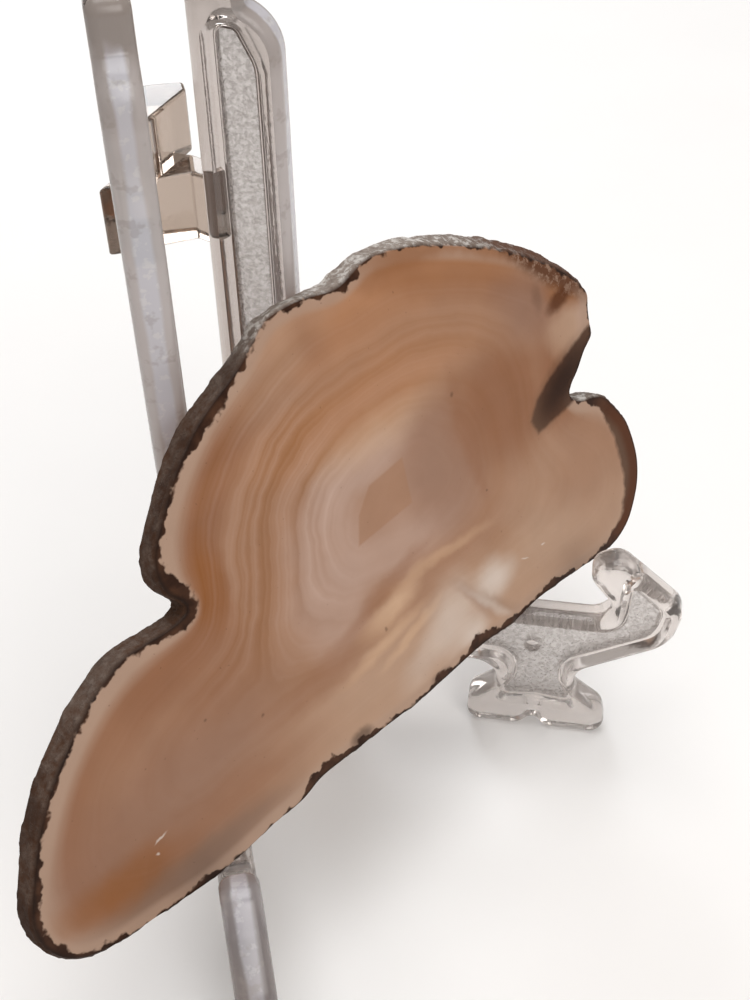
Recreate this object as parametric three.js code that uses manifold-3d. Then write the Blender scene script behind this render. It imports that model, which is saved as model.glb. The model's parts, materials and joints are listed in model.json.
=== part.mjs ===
// A thin agate slice resting on a clear moulded stand made of two hinged side frames.
// Millimetres, Z up. The slice faces -Y, the hinge of the stand is behind it.
import * as THREE from "three";
import Module from "manifold-3d";
import { mergeVertices } from "three/addons/utils/BufferGeometryUtils.js";

// Stand of clear plastic
const FRAME_THICKNESS = 5;
const OPENING_HALF_ANGLE = 34.5;      // degrees, each side frame from the middle plane
const EDGE_ROUND = 1.1;               // rounding of the raised rim of a side frame
const EDGE_ROUND_STEPS = 3;
const POCKET_DEPTH = 1.3;             // sunk web, the same on both faces
const POCKET_SLOPE = 0.8;
const ARC_STEP = 16;                  // degrees of arc per straight piece
const ARC_MIN_STEPS = 2;
const EJECTOR_MARK = { forward: 55.2, height: 18.9, radius: 1.3, depth: 0.25, sides: 20 };

// Side frame seen from its side: [forward from the hinge, height, corner radius].
const FRAME_OUTLINE = [
  [9.3, 0, 1.6], [23.4, 0, 1.8],                                     // rear foot
  [23.4, 14.9, 8], [49.9, 14.9, 4],                                  // arch between the feet
  [49.9, 9.7, 1.4], [45.7, 6, 3], [45.4, 0, 2.4], [54.4, 0, 3],      // first toe
  [56.4, 2.8, 0.9], [58.4, 0, 3],                                    // dip between the toes
  [68.8, 0, 2.6], [67.4, 5.6, 3.4], [62.5, 9.7, 2.6],                // second toe
  [62.5, 14.7, 4], [76.2, 23.3, 7], [77.3, 30.7, 4],                 // forward lip, outer side
  [66.9, 40.2, 2.8], [61.3, 37.5, 2.8],                              // rounded tip of the lip
  [66.8, 30.3, 2], [64.8, 26.9, 3],                                  // crook behind the lip
  [20.5, 26.9, 10],                                                  // arm top, into the spine
  [20.2, 117.2, 6.4], [16.3, 119.4, 1],                              // shoulder
  [16.3, 125.3, 2.2], [9.6, 125.3, 2.2],                             // top post
];
const POCKET_OUTLINE = [
  [12.3, 3, 1.2], [20.4, 3, 1.2],
  [20.4, 17.7, 9], [52.9, 17.7, 4],
  [52.9, 11.3, 3], [50.4, 6.5, 1], [56.3, 7.3, 1.5], [62.9, 6.5, 1],
  [60.2, 11.3, 3], [60.2, 16.1, 3],
  [73.6, 24.2, 4], [74.4, 29.7, 1.8],
  [69, 35.1, 0.7], [68.6, 24.1, 3.6],
  [17.5, 24.1, 12],
  [17.4, 112.3, 5], [15.2, 116.9, 1.2], [12.4, 117.3, 1.3],
];

// The pin stands on the right hinge block and turns in a hole through the left one.
const HINGE_PIN = {
  x: 0.3, y: -2.7, bottom: 95.3, top: 106.3, radius: 1, clearance: 0.1, sides: 32,
};

// Hinge blocks seen from above, one moulded on each side frame: [x, y].
const BLOCK_ROUND = 0.5;
const BLOCK_ROUND_STEPS = 1;
const LEFT_BLOCK = {
  bottom: 98.2, top: 106.5,
  plan: [[-4.4, -9.9], [-0.3, -5.9], [7.4, -3.3], [8.6, -1.4],
    [4.7, 1.5], [-1, -0.6], [-6.6, -6], [-7.6, -7.8]],
};
const RIGHT_BLOCK = {
  bottom: 88.3, top: 97.8,
  plan: [[-6.2, -1.4], [4.2, -6.6], [4.9, -10.2], [8.4, -8], [7.4, -2.8],
    [2.4, 1.6], [-2.8, -0.4]],
};

// Agate slice
const SLICE_THICKNESS = 3.6;
const SLICE_LEAN = 23.4;              // degrees back from upright
const SLICE_FOOT = { y: -46, z: 28.2 }; // lower edge of the polished front face
const SLICE_EDGE_ROUND = 0.35;
const SLICE_EDGE_DEPTH = 0.5;
const SLICE_OUTLINE_POINTS = 200;

// Front outline: [x, distance up the face, how far the back outline stands further out].
const SLICE_OUTLINE = [
  [-56.2, 6.4, 0], [-53.6, 4, 0], [-49.5, 2.5, 0], [-44.2, 1.7, 0], [-39.6, 1, 0],     // foot, left
  [-35, 0.4, 0], [-30, 0.4, 0], [-24, 0.7, 0], [-19, 0.6, 0], [-15.2, 1.4, 0],
  [-11, 1.3, 0], [-4, 0.9, 0], [3, 0.5, 0], [10, 0.5, 0], [18, 0.7, 0],                // foot, middle
  [25, 0.1, 0], [31, 0.4, 0], [37, 0, 0], [42, -0.5, 0], [46.5, -1.1, 0],
  [51, -1, 0], [54.8, 0.5, 0], [57.5, 3, 0], [59.4, 5.7, 0],                           // right lobe
  [60.6, 9.2, 0], [60.7, 13.2, 0], [60.1, 16.8, 0], [59.2, 18.6, 0], [58, 20.6, 0],
  [56.6, 22.6, 0.2], [54.2, 23.9, 0.4], [51.6, 24.6, 0.4], [50, 25.6, 0.2],
  [49.4, 26.7, 0], [50.3, 27.8, 0],                                                    // right notch
  [52.1, 29, 0], [54.7, 31.2, 0], [57.2, 32.9, 0], [57.5, 34.9, 0], [57.9, 37, 0.2],
  [58.5, 39.2, 0.6], [57.4, 41.4, 1.5], [53.4, 45.6, 1.9], [46, 51.1, 1.8],            // crown, right
  [38.3, 55.5, 1.7], [30.3, 59.1, 1.2], [26.6, 60.5, 0.8], [23.3, 61.3, 0.5],
  [19.8, 61.8, 0.3], [17.4, 61.5, 0.4], [15.6, 60.9, 0.7], [13.4, 60.5, 0.5],          // crown, middle
  [11, 60.8, 0.1], [8, 61.5, -0.2], [4.4, 61.8, -0.4], [1.2, 61.5, -0.5],
  [-1.4, 60, -0.3], [-4.3, 58.3, 0], [-7.2, 57, 0], [-10.2, 55.8, 0],                  // crown, left
  [-13.4, 54.2, 0.1], [-16.1, 52.3, 0.1], [-18.6, 50.3, 0.1], [-20.9, 47.9, 0],
  [-23.1, 45.5, 0], [-24.9, 43, 0], [-25.6, 40.5, 0.1], [-25.2, 37.8, 0.1],
  [-24, 36, 0], [-23.7, 34.9, 0], [-25, 34.3, 0],                                      // left notch
  [-27.4, 34.2, 0], [-30.1, 34.4, 0.1], [-33.8, 34.4, 0.3], [-37, 33.3, 0.4],
  [-41, 31.3, 0.5], [-44.2, 29.1, 0.5], [-47.2, 26.8, 0.5], [-49.8, 24.3, 0.5],         // left lobe
  [-52.2, 21.4, 0.4], [-54.3, 18.2, 0.3], [-57, 13.2, 0.2], [-57.4, 9.8, 0.1],
];

const SAME_POINT = 1e-4;              // vertices closer than this are one vertex
const rad = THREE.MathUtils.degToRad;
const wasm = await Module();
wasm.setup();

// Closed shape through corners, each corner rounded by a tangent arc.
function roundedShape(corners) {
  const points = [];
  corners.forEach(([x, y, radius], i) => {
    const corner = new THREE.Vector2(x, y);
    const before = corners[(i + corners.length - 1) % corners.length];
    const after = corners[(i + 1) % corners.length];
    const toBefore = new THREE.Vector2(before[0], before[1]).sub(corner).normalize();
    const toAfter = new THREE.Vector2(after[0], after[1]).sub(corner).normalize();
    const halfAngle = Math.acos(THREE.MathUtils.clamp(toBefore.dot(toAfter), -1, 1)) / 2;
    const reach = radius / Math.tan(halfAngle);
    const middle = toBefore.clone().add(toAfter).normalize();
    const centre = corner.clone().addScaledVector(middle, radius / Math.sin(halfAngle));
    const start = corner.clone().addScaledVector(toBefore, reach).sub(centre);
    const turn = toBefore.cross(toAfter) < 0 ? 1 : -1;
    const sweep = Math.PI - 2 * halfAngle;
    const steps = Math.max(ARC_MIN_STEPS, Math.ceil(sweep / rad(ARC_STEP)));
    for (let k = 0; k <= steps; k += 1) {
      const arm = start.clone().rotateAround(new THREE.Vector2(), turn * sweep * k / steps);
      points.push(arm.add(centre));
    }
  });
  return new THREE.Shape(points);
}

// Prism of a shape, rounded outline at both ends, middle plane at z = 0.
function roundedPrism(shape, height, round, steps) {
  const geometry = new THREE.ExtrudeGeometry(shape, {
    depth: height - 2 * round, bevelEnabled: true, bevelThickness: round,
    bevelSize: round, bevelOffset: -round, bevelSegments: steps,
  });
  geometry.translate(0, 0, round - height / 2);
  return geometry;
}

function toSolid(geometry) {
  const plain = geometry.index ? geometry.toNonIndexed() : geometry.clone();
  plain.deleteAttribute("normal");
  plain.deleteAttribute("uv");
  const merged = mergeVertices(plain, SAME_POINT);
  return new wasm.Manifold(new wasm.Mesh({
    numProp: 3,
    vertProperties: new Float32Array(merged.attributes.position.array),
    triVerts: new Uint32Array(merged.index.array),
  }));
}

function toGeometry(solid) {
  const mesh = solid.getMesh();
  const geometry = new THREE.BufferGeometry();
  geometry.setAttribute("position", new THREE.BufferAttribute(mesh.vertProperties, 3));
  geometry.setIndex(new THREE.BufferAttribute(mesh.triVerts, 1));
  geometry.computeVertexNormals();
  return geometry;
}

// One side frame lying in its own plane: x forward, y up, z across the thickness.
function sidePlate() {
  const plate = toSolid(roundedPrism(
    roundedShape(FRAME_OUTLINE), FRAME_THICKNESS, EDGE_ROUND, EDGE_ROUND_STEPS));
  const face = FRAME_THICKNESS / 2;
  const pocket = new THREE.ExtrudeGeometry(roundedShape(POCKET_OUTLINE), {
    depth: 2 * POCKET_DEPTH, bevelEnabled: true, bevelThickness: POCKET_DEPTH,
    bevelSize: POCKET_SLOPE, bevelSegments: 1,
  });
  pocket.translate(0, 0, face);
  const { forward, height, radius, depth, sides } = EJECTOR_MARK;
  const mark = new THREE.CylinderGeometry(radius, radius, POCKET_DEPTH, sides);
  mark.rotateX(Math.PI / 2);
  mark.translate(forward, height, face - depth - POCKET_DEPTH / 2);
  const sunk = toSolid(pocket).add(toSolid(mark));
  return plate.subtract(sunk).subtract(sunk.mirror([0, 0, 1]));
}

function hingeBlock({ bottom, top, plan }) {
  const shape = new THREE.Shape(plan.map(([x, y]) => new THREE.Vector2(x, y)));
  const block = roundedPrism(shape, top - bottom, BLOCK_ROUND, BLOCK_ROUND_STEPS);
  block.translate(0, 0, (top + bottom) / 2);
  return toSolid(block);
}

function hingePin(radius, bottom, top) {
  const cylinder = new THREE.CylinderGeometry(radius, radius, top - bottom, HINGE_PIN.sides);
  cylinder.rotateX(Math.PI / 2);
  cylinder.translate(HINGE_PIN.x, HINGE_PIN.y, (top + bottom) / 2);
  return toSolid(cylinder);
}

function standPlastic(name, solid) {
  const material = new THREE.MeshStandardMaterial({
    color: 0xcfc4be, roughness: 0.12, metalness: 0, transparent: true, opacity: 0.4,
  });
  const mesh = new THREE.Mesh(toGeometry(solid), material);
  mesh.name = name;
  return mesh;
}

// Stands the plate up and turns it about the hinge; side is -1 for left, 1 for right.
function sideFrame(name, side, block, finish) {
  const heading = side * OPENING_HALF_ANGLE - 90;
  const upright = sidePlate().rotate([90, 0, 0]).rotate([0, 0, heading]);
  return standPlastic(name, finish(upright.add(hingeBlock(block))));
}

function withPin(frame) {
  return frame.add(hingePin(HINGE_PIN.radius, HINGE_PIN.bottom, HINGE_PIN.top));
}

function withPinHole(frame) {
  const radius = HINGE_PIN.radius + HINGE_PIN.clearance;
  const { bottom, top } = LEFT_BLOCK;
  return frame.subtract(hingePin(radius, bottom - radius, top + radius));
}

// Slice body from outline rings at growing depth behind the polished face.
function sliceGeometry() {
  const curve = new THREE.CatmullRomCurve3(
    SLICE_OUTLINE.map(([x, y, flare]) => new THREE.Vector3(x, y, flare)), true, "centripetal");
  const outline = curve.getPoints(SLICE_OUTLINE_POINTS).slice(0, SLICE_OUTLINE_POINTS);
  const count = outline.length;
  const outward = outline.map((point, i) => {
    const before = outline[(i + count - 1) % count];
    const after = outline[(i + 1) % count];
    return new THREE.Vector2(after.y - before.y, before.x - after.x).normalize();
  });
  const rings = [
    [0, -SLICE_EDGE_ROUND],
    [SLICE_EDGE_DEPTH, 0],
    [SLICE_THICKNESS / 2, 0],
    [SLICE_THICKNESS - SLICE_EDGE_DEPTH, 0],
    [SLICE_THICKNESS, -SLICE_EDGE_ROUND],
  ];
  const positions = [];
  for (const [depth, step] of rings) {
    outline.forEach((point, i) => {
      const out = step + point.z * depth / SLICE_THICKNESS;
      positions.push(point.x + outward[i].x * out, point.y + outward[i].y * out, -depth);
    });
  }
  const index = [];
  for (let r = 0; r + 1 < rings.length; r += 1) {
    for (let i = 0; i < count; i += 1) {
      const next = (i + 1) % count;
      const a = r * count + i;
      const b = r * count + next;
      index.push(a, a + count, b + count, a, b + count, b);
    }
  }
  const ringAsShape = (r) => outline.map((point, i) => new THREE.Vector2(
    positions[3 * (r * count + i)], positions[3 * (r * count + i) + 1]));
  for (const [a, b, c] of THREE.ShapeUtils.triangulateShape(ringAsShape(0), [])) {
    index.push(a, b, c);
  }
  const last = rings.length - 1;
  for (const [a, b, c] of THREE.ShapeUtils.triangulateShape(ringAsShape(last), [])) {
    index.push(last * count + a, last * count + c, last * count + b);
  }
  const geometry = new THREE.BufferGeometry();
  geometry.setAttribute("position", new THREE.Float32BufferAttribute(positions, 3));
  geometry.setIndex(index);
  geometry.computeVertexNormals();
  return geometry;
}

const stone = new THREE.MeshStandardMaterial({ color: 0xa07a60, roughness: 0.22, metalness: 0 });
const slice = new THREE.Mesh(sliceGeometry(), stone);
slice.name = "agate_slice";
slice.rotation.x = rad(90 - SLICE_LEAN);
slice.position.set(0, SLICE_FOOT.y, SLICE_FOOT.z);

const root = new THREE.Group();
root.name = "agate_slice_on_stand";
const body = new THREE.Group();
body.name = "body";
body.add(slice);
body.add(sideFrame("left_side_frame", -1, LEFT_BLOCK, withPinHole));
body.add(sideFrame("right_side_frame", 1, RIGHT_BLOCK, withPin));
root.add(body);

// Origin: middle of the footprint, on the ground.
const bounds = new THREE.Box3().setFromObject(body, true);
body.position.set(
  -(bounds.min.x + bounds.max.x) / 2, -(bounds.min.y + bounds.max.y) / 2, -bounds.min.z);

export default root;
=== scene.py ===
import json
import math

import bmesh
import bpy
import numpy as np
from bpy.props import FloatProperty, FloatVectorProperty, PointerProperty
from mathutils import Matrix, Vector

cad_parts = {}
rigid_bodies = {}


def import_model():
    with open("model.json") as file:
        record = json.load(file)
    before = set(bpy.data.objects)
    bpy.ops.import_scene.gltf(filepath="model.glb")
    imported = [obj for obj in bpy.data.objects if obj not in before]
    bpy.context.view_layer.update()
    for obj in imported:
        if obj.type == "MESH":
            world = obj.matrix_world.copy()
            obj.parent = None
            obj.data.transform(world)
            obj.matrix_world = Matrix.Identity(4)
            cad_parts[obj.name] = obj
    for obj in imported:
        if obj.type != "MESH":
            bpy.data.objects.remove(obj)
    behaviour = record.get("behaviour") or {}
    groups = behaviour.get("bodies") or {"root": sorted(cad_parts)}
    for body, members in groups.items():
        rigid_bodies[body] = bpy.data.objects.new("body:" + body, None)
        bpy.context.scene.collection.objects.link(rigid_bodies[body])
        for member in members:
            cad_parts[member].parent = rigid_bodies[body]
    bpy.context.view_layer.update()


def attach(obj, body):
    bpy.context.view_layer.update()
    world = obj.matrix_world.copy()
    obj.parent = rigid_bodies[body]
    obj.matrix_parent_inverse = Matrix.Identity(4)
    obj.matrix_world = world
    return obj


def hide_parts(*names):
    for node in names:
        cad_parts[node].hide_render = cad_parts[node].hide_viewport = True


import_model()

bl_info = {
    "name": "Agate slice on a folding stand",
    "version": (1, 0, 0),
    "blender": (4, 5, 0),
    "location": "View3D > Sidebar > Agate",
    "description": "Builds a polished agate slice, its clear stand and a plain studio",
    "category": "Object",
}

MM = 0.001

# Tolerances of the modelling.
SAME_HEIGHT = 1e-7          # metres between vertices that lie at one height
WALL_SLANT = 0.98           # a face whose normal points less than this across the plate is a wall
FLOOR_SLANT = 0.999         # and one whose normal points more than this is a floor
SLACK = 0.02                # mm that a sunk floor may lie above its height
FACE_SLACK = 0.2            # mm round a face of the slice that still belong to it
GRID_MERGE = 0.09 * MM      # grid points nearer than this become one
SEAM_MERGE = 0.02 * MM      # and so do the points of the seam round the back

# The hinge side of the stand, in the shared frame. The outlines below are in millimetres from it.
HINGE = Vector((-1.609, 31.425, 0.0)) * MM
SLICE_FOOT = Vector((0.0, -46.0, 28.2)) * MM

# Side frame seen from its side: forward from the hinge, height, corner radius.
FRAME_OUTLINE = [
    (9.3, 0, 1.6), (23.4, 0, 1.8),                                      # rear foot
    (23.4, 14.9, 8), (49.9, 14.9, 4),                                   # arch
    (49.9, 9.7, 1.4), (45.7, 6, 3), (45.4, 0, 2.4), (54.4, 0, 3),       # first toe
    (56.4, 2.8, 0.9), (58.4, 0, 3),                                     # dip between the toes
    (68.8, 0, 2.6), (67.4, 5.6, 3.4), (62.5, 9.7, 2.6),                 # second toe
    (62.5, 14.7, 4), (76.2, 23.3, 7), (77.3, 30.7, 4),                  # forward lip, outer side
    (66.9, 40.2, 2.8), (61.3, 37.5, 2.8),                               # rounded tip of the lip
    (66.8, 30.3, 2), (64.8, 26.9, 3),                                   # crook behind the lip
    (20.5, 26.9, 10),                                                   # arm top, into the spine
    (20.2, 117.2, 6.4), (16.3, 119.4, 1),                               # shoulder
    (16.3, 125.3, 2.2), (9.6, 125.3, 2.2),                              # top post
]
POCKET_OUTLINE = [
    (12.3, 3, 1.2), (20.4, 3, 1.2), (20.4, 17.7, 9), (52.9, 17.7, 4),
    (52.9, 11.3, 3), (50.4, 6.5, 1), (56.3, 7.3, 1.5), (62.9, 6.5, 1),
    (60.2, 11.3, 3), (60.2, 16.1, 3), (73.6, 24.2, 4), (74.4, 29.7, 1.8),
    (69, 35.1, 0.7), (68.6, 24.1, 3.6), (17.5, 24.1, 12),
    (17.4, 112.3, 5), (15.2, 116.9, 1.2), (12.4, 117.3, 1.3),
]
FRAME_HEIGHT = 125.3
RIM_SEGMENTS = 6
ARC_STEP = math.radians(7.5)
FRAME_SHADING = math.radians(32)        # edges of a frame that are sharper stay crisp
EJECTOR_MARK = {"forward": 55.2, "height": 18.9, "radius": 1.3, "depth": 0.15, "sides": 48,
                "round": 0.08}

# Hinge blocks seen from above. The pin stands on the right one and turns in the left one.
HINGE_PIN = {"x": 0.3, "y": -2.7, "bottom": 95.3, "top": 106.3, "radius": 1, "clearance": 0.1,
             "sides": 48, "round": 0.15}
LEFT_BLOCK = {
    "bottom": 98.2, "top": 106.5,
    "plan": [(-4.4, -9.9), (-0.3, -5.9), (7.4, -3.3), (8.6, -1.4),
             (4.7, 1.5), (-1, -0.6), (-6.6, -6), (-7.6, -7.8)],
}
RIGHT_BLOCK = {
    "bottom": 88.3, "top": 97.8,
    "plan": [(-6.2, -1.4), (4.2, -6.6), (4.9, -10.2), (8.4, -8), (7.4, -2.8),
             (2.4, 1.6), (-2.8, -0.4)],
}
BLOCK_ROUND, BLOCK_CORNER = 0.5, math.radians(20)
LOOKS = ("gloss", "web", "edge", "block")       # the kinds of surface on a side frame
# Narrow edges that look hazy, forward and up from these places.
HAZY_SPINE, HAZY_LIP = (15, 42), (60, 1)
# Pale flecks on the hazy edges are painted glints, partly dust; the grain tint is painted shade in
# the low parts of the stipple.
DUST_AND_GLINT_TINT, WEB_TINT, GRAIN_SHADE_TINT = (0.97, 0.97, 1.0), (0.97, 0.95, 0.93), (0.36, 0.32, 0.3)
PLASTIC_IOR, AGATE_IOR, AGATE_SPECULAR = 1.5, 1.54, 0.12

# Slice outline on the polished face: across, up the face, how far the back stands further out.
SLICE_OUTLINE = [
    (-56.2, 6.4, 0), (-53.6, 4, 0), (-49.5, 2.5, 0), (-44.2, 1.7, 0), (-39.6, 1, 0),
    (-35, 0.4, 0), (-30, 0.4, 0), (-24, 0.7, 0), (-19, 0.6, 0), (-15.2, 1.4, 0),
    (-11, 1.3, 0), (-4, 0.9, 0), (3, 0.5, 0), (10, 0.5, 0), (18, 0.7, 0),
    (25, 0.1, 0), (31, 0.4, 0), (37, 0, 0), (42, -0.5, 0), (46.5, -1.1, 0),
    (51, -1, 0), (54.8, 0.5, 0), (57.5, 3, 0), (59.4, 5.7, 0),
    (60.6, 9.2, 0), (60.7, 13.2, 0), (60.1, 16.8, 0), (59.2, 18.6, 0), (58, 20.6, 0),
    (56.6, 22.6, 0.2), (54.2, 23.9, 0.4), (51.6, 24.6, 0.4), (50, 25.6, 0.2),
    (49.4, 26.7, 0), (50.3, 27.8, 0),
    (52.1, 29, 0), (54.7, 31.2, 0), (57.2, 32.9, 0), (57.5, 34.9, 0), (57.9, 37, 0.2),
    (58.5, 39.2, 0.6), (57.4, 41.4, 1.5), (53.4, 45.6, 1.9), (46, 51.1, 1.8),
    (38.3, 55.5, 1.7), (30.3, 59.1, 1.2), (26.6, 60.5, 0.8), (23.3, 61.3, 0.5),
    (19.8, 61.8, 0.3), (17.4, 61.5, 0.4), (15.6, 60.9, 0.7), (13.4, 60.5, 0.5),
    (11, 60.8, 0.1), (8, 61.5, -0.2), (4.4, 61.8, -0.4), (1.2, 61.5, -0.5),
    (-1.4, 60, -0.3), (-4.3, 58.3, 0), (-7.2, 57, 0), (-10.2, 55.8, 0),
    (-13.4, 54.2, 0.1), (-16.1, 52.3, 0.1), (-18.6, 50.3, 0.1), (-20.9, 47.9, 0),
    (-23.1, 45.5, 0), (-24.9, 43, 0), (-25.6, 40.5, 0.1), (-25.2, 37.8, 0.1),
    (-24, 36, 0), (-23.7, 34.9, 0), (-25, 34.3, 0),
    (-27.4, 34.2, 0), (-30.1, 34.4, 0.1), (-33.8, 34.4, 0.3), (-37, 33.3, 0.4),
    (-41, 31.3, 0.5), (-44.2, 29.1, 0.5), (-47.2, 26.8, 0.5), (-49.8, 24.3, 0.5),
    (-52.2, 21.4, 0.4), (-54.3, 18.2, 0.3), (-57, 13.2, 0.2), (-57.4, 9.8, 0.1),
]
# Round the rim: across, up, width of the dark rind on the face, paleness of the rough wall.
# The paleness is partly painted light: highest along the upward-facing top of the rim, where the
# light from above falls.
RIM_CHARACTER = [
    (-56.7, 7.7, 1.6, 0.05), (-52.9, 3.7, 0.7, 0.1), (-50.5, 2.9, 1.1, 0.1),
    (-47.8, 2.2, 0.5, 0.1), (-45, 1.8, 0.3, 0.1), (-39.6, 1, 0.6, 0.1), (-37, 0.7, 1.3, 0.1),
    (-34.6, 0.4, 0.8, 0.1), (-30, 0.4, 0.3, 0.1), (-20.2, 0.6, 0.3, 0.1), (-18, 0.8, 1.2, 0.1),
    (-15.2, 1.4, 1.7, 0.1), (-12.9, 1.3, 2, 0.1), (-10.5, 1.3, 0.9, 0.1), (-8.6, 1.2, 1, 0.1),
    (-6.8, 1.1, 1.3, 0.1), (-3.9, 0.9, 0.5, 0.1), (-2.1, 0.8, 1, 0.1), (3, 0.5, 0.3, 0.1),
    (7, 0.5, 0.9, 0.1), (9.1, 0.5, 1.7, 0.1), (11.5, 0.5, 1, 0.1), (14.7, 0.6, 0.8, 0.1),
    (16.6, 0.7, 2.9, 0.1), (18.6, 0.6, 2.2, 0.1), (20.4, 0.5, 1.3, 0.1), (24.1, 0.2, 1.2, 0.1),
    (27, 0.2, 0.8, 0.1), (31, 0.4, 0.8, 0.1), (34.4, 0.2, 1.5, 0.1), (36.7, 0, 1.1, 0.1),
    (41.4, -0.4, 0.3, 0.1), (44, -0.8, 0.5, 0.15), (47.6, -1.1, 1.5, 0.15), (50.6, -1, 2, 0.15),
    (55.2, 0.9, 2.1, 0.15), (57.1, 2.6, 2.8, 0.1), (59.6, 6.3, 3.6, 0.1), (60.7, 11.6, 4, 0.1),
    (60.3, 15.5, 3.8, 0.1), (58.4, 20, 3, 0.2), (54.6, 23.7, 1.3, 0.6), (52, 24.5, 0.4, 0.8),
    (49.4, 26.7, 0.5, 0.2), (52.1, 29, 0.8, 0.2), (57, 32.9, 0.5, 0.3), (58.3, 38, 0.3, 0.4),
    (53.4, 45.6, 0.4, 0.35), (46, 51.1, 0.3, 0.5), (38.3, 55.5, 0.25, 0.65), (30, 59.1, 0.3, 0.8),
    (25.4, 60.8, 0.4, 0.9), (21.8, 61.5, 0.3, 0.9), (18.8, 61.7, 0.6, 0.9),
    (14.5, 60.7, 1.4, 0.95), (13, 60.5, 0.4, 1), (7.2, 61.6, 0.5, 1), (4.6, 61.8, 0.7, 1),
    (0.4, 61, 0.3, 0.7), (-3.3, 58.9, 0.6, 0.35), (-7, 57.1, 1.2, 0.2), (-11.9, 54.9, 1.9, 0.12),
    (-14.3, 53.6, 1.2, 0.12), (-16.7, 51.9, 0.7, 0.12), (-20.5, 48.4, 0.6, 0.12),
    (-24.6, 43.5, 0.8, 0.08), (-25.4, 39, 2.3, 0.05), (-24, 36, 2, 0), (-25, 34.3, 1.4, 0),
    (-26.3, 34.2, 1.2, 0.1), (-29.8, 34.4, 0.7, 0.12), (-35.8, 33.7, 0.5, 0.22),
    (-45, 28.5, 0.6, 0.12), (-52.7, 20.7, 0.7, 0.08), (-54.7, 17.5, 1.1, 0.05),
    (-57.2, 11.5, 1.1, 0.05),
]
OUTLINE_STEP = 0.5          # spacing of points along the slice outline, mm
FACE_CELL = 1.0             # spacing of the grid cut into the slice faces, mm
SPLINE_STEPS = 12
CHUNK = 2000                # points measured at once against the outline
POLISH_EDGE = 0.35
WALL_EDGE = 0.45            # height of the rounded rings at both edges of the wall, mm
WALL_RINGS = 6
FLARE_REACH = 8             # how far under the rim the back still follows its flare, mm
SMOOTH_ROUNDS = 60
SMOOTH_DEPTH = 6            # bands deeper than this are smoothed in full, mm
SLICE_SHADING = math.radians(40)
WALL_LUMPS = {"lumps": (2.6, 1.0), "grit": (0.7, 0.45)}     # size in mm, share of the relief

# The stage: place, aim and size of each light in metres, and its colour.
LIGHTS = {
    "overhead": ((0.1, 0.1, 1.1), (0, 0, 0), (0.9, 0.9), (1.0, 0.99, 0.98)),
    "key": ((0.49, 0.725, 0.52), (0, 0, 0.08), (0.35, 0.35), (0.9, 0.95, 1.0)),
    "fill": ((-0.2, -0.7, 0.6), (0, 0, 0.05), (0.6, 0.5), (1.0, 0.97, 0.94)),
}
FLOOR_SIZE = 6
# The camera: its place in millimetres and its three axes, as fitted to the photo.
CAMERA_PLACE = (-87.95, -92.972, 179.25)
CAMERA_AXES = [(0.68789936, -0.72575636, -0.00849511), (0.49830559, 0.4637382, 0.73255608),
               (-0.52771773, -0.50815803, 0.68065367)]
CAMERA_SENSOR = 36
CAMERA_CLIP = (0.01, 20)


def srgb(code):
    """Linear colour of an sRGB hex code, as Blender's colour sockets take it."""
    parts = [int(code[i:i + 2], 16) / 255 for i in (1, 3, 5)]
    return tuple(p / 12.92 if p <= 0.04045 else ((p + 0.055) / 1.055) ** 2.4 for p in parts)


def rounded_outline(corners):
    """Closed outline through corners, each rounded by an arc that touches both sides."""
    points = []
    for i, (x, y, radius) in enumerate(corners):
        corner = np.array((x, y), float)
        before = np.array(corners[i - 1][:2], float) - corner
        after = np.array(corners[(i + 1) % len(corners)][:2], float) - corner
        before /= np.linalg.norm(before)
        after /= np.linalg.norm(after)
        half = math.acos(float(np.clip(before @ after, -1, 1))) / 2
        middle = before + after
        centre = corner + middle / np.linalg.norm(middle) * radius / math.sin(half)
        start = corner + before * radius / math.tan(half) - centre
        turn = 1 if before[0] * after[1] - before[1] * after[0] < 0 else -1
        sweep = math.pi - 2 * half
        steps = max(3, math.ceil(sweep / ARC_STEP))
        for k in range(steps + 1):
            a = turn * sweep * k / steps
            c, s = math.cos(a), math.sin(a)
            turned = (start[0] * c - start[1] * s, start[0] * s + start[1] * c)
            points.append(centre + np.array(turned))
    return np.array(points)


def outward_normals(points):
    """Unit normals that point out of a closed outline that runs anticlockwise."""
    along = np.roll(points, -1, 0) - np.roll(points, 1, 0)
    normal = np.stack([along[:, 1], -along[:, 0]], 1)
    return normal / np.linalg.norm(normal, axis=1)[:, None]


def nearest_index(vertices, points):
    """For each vertex, the index of the nearest of points, which are in millimetres."""
    flat = np.array([v.co[:2] for v in vertices]) / MM
    return np.linalg.norm(flat[:, None] - points[None], axis=2).argmin(1)


def deselect_all():
    for obj in bpy.context.view_layer.objects:
        obj.select_set(False)


def make_active(obj):
    deselect_all()
    obj.select_set(True)
    bpy.context.view_layer.objects.active = obj


def edit_mesh(obj):
    """Opens obj in edit mode with nothing selected, and returns its editable mesh."""
    make_active(obj)
    bpy.ops.object.mode_set(mode="EDIT")
    bpy.ops.mesh.select_mode(type="VERT")
    bpy.ops.mesh.select_all(action="DESELECT")
    return bmesh.from_edit_mesh(obj.data)


def select_whole_mesh():
    bpy.ops.mesh.select_all(action="SELECT")


def leave_edit():
    bpy.ops.object.mode_set(mode="OBJECT")


def leave_closed():
    """Turns every face of a closed mesh outward and leaves edit mode."""
    select_whole_mesh()
    bpy.ops.mesh.normals_make_consistent(inside=False)
    leave_edit()


def apply_modifier(obj, name, kind, **settings):
    make_active(obj)
    modifier = obj.modifiers.new(name, kind)
    for key, value in settings.items():
        setattr(modifier, key, value)
    bpy.ops.object.modifier_apply(modifier=modifier.name)


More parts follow.
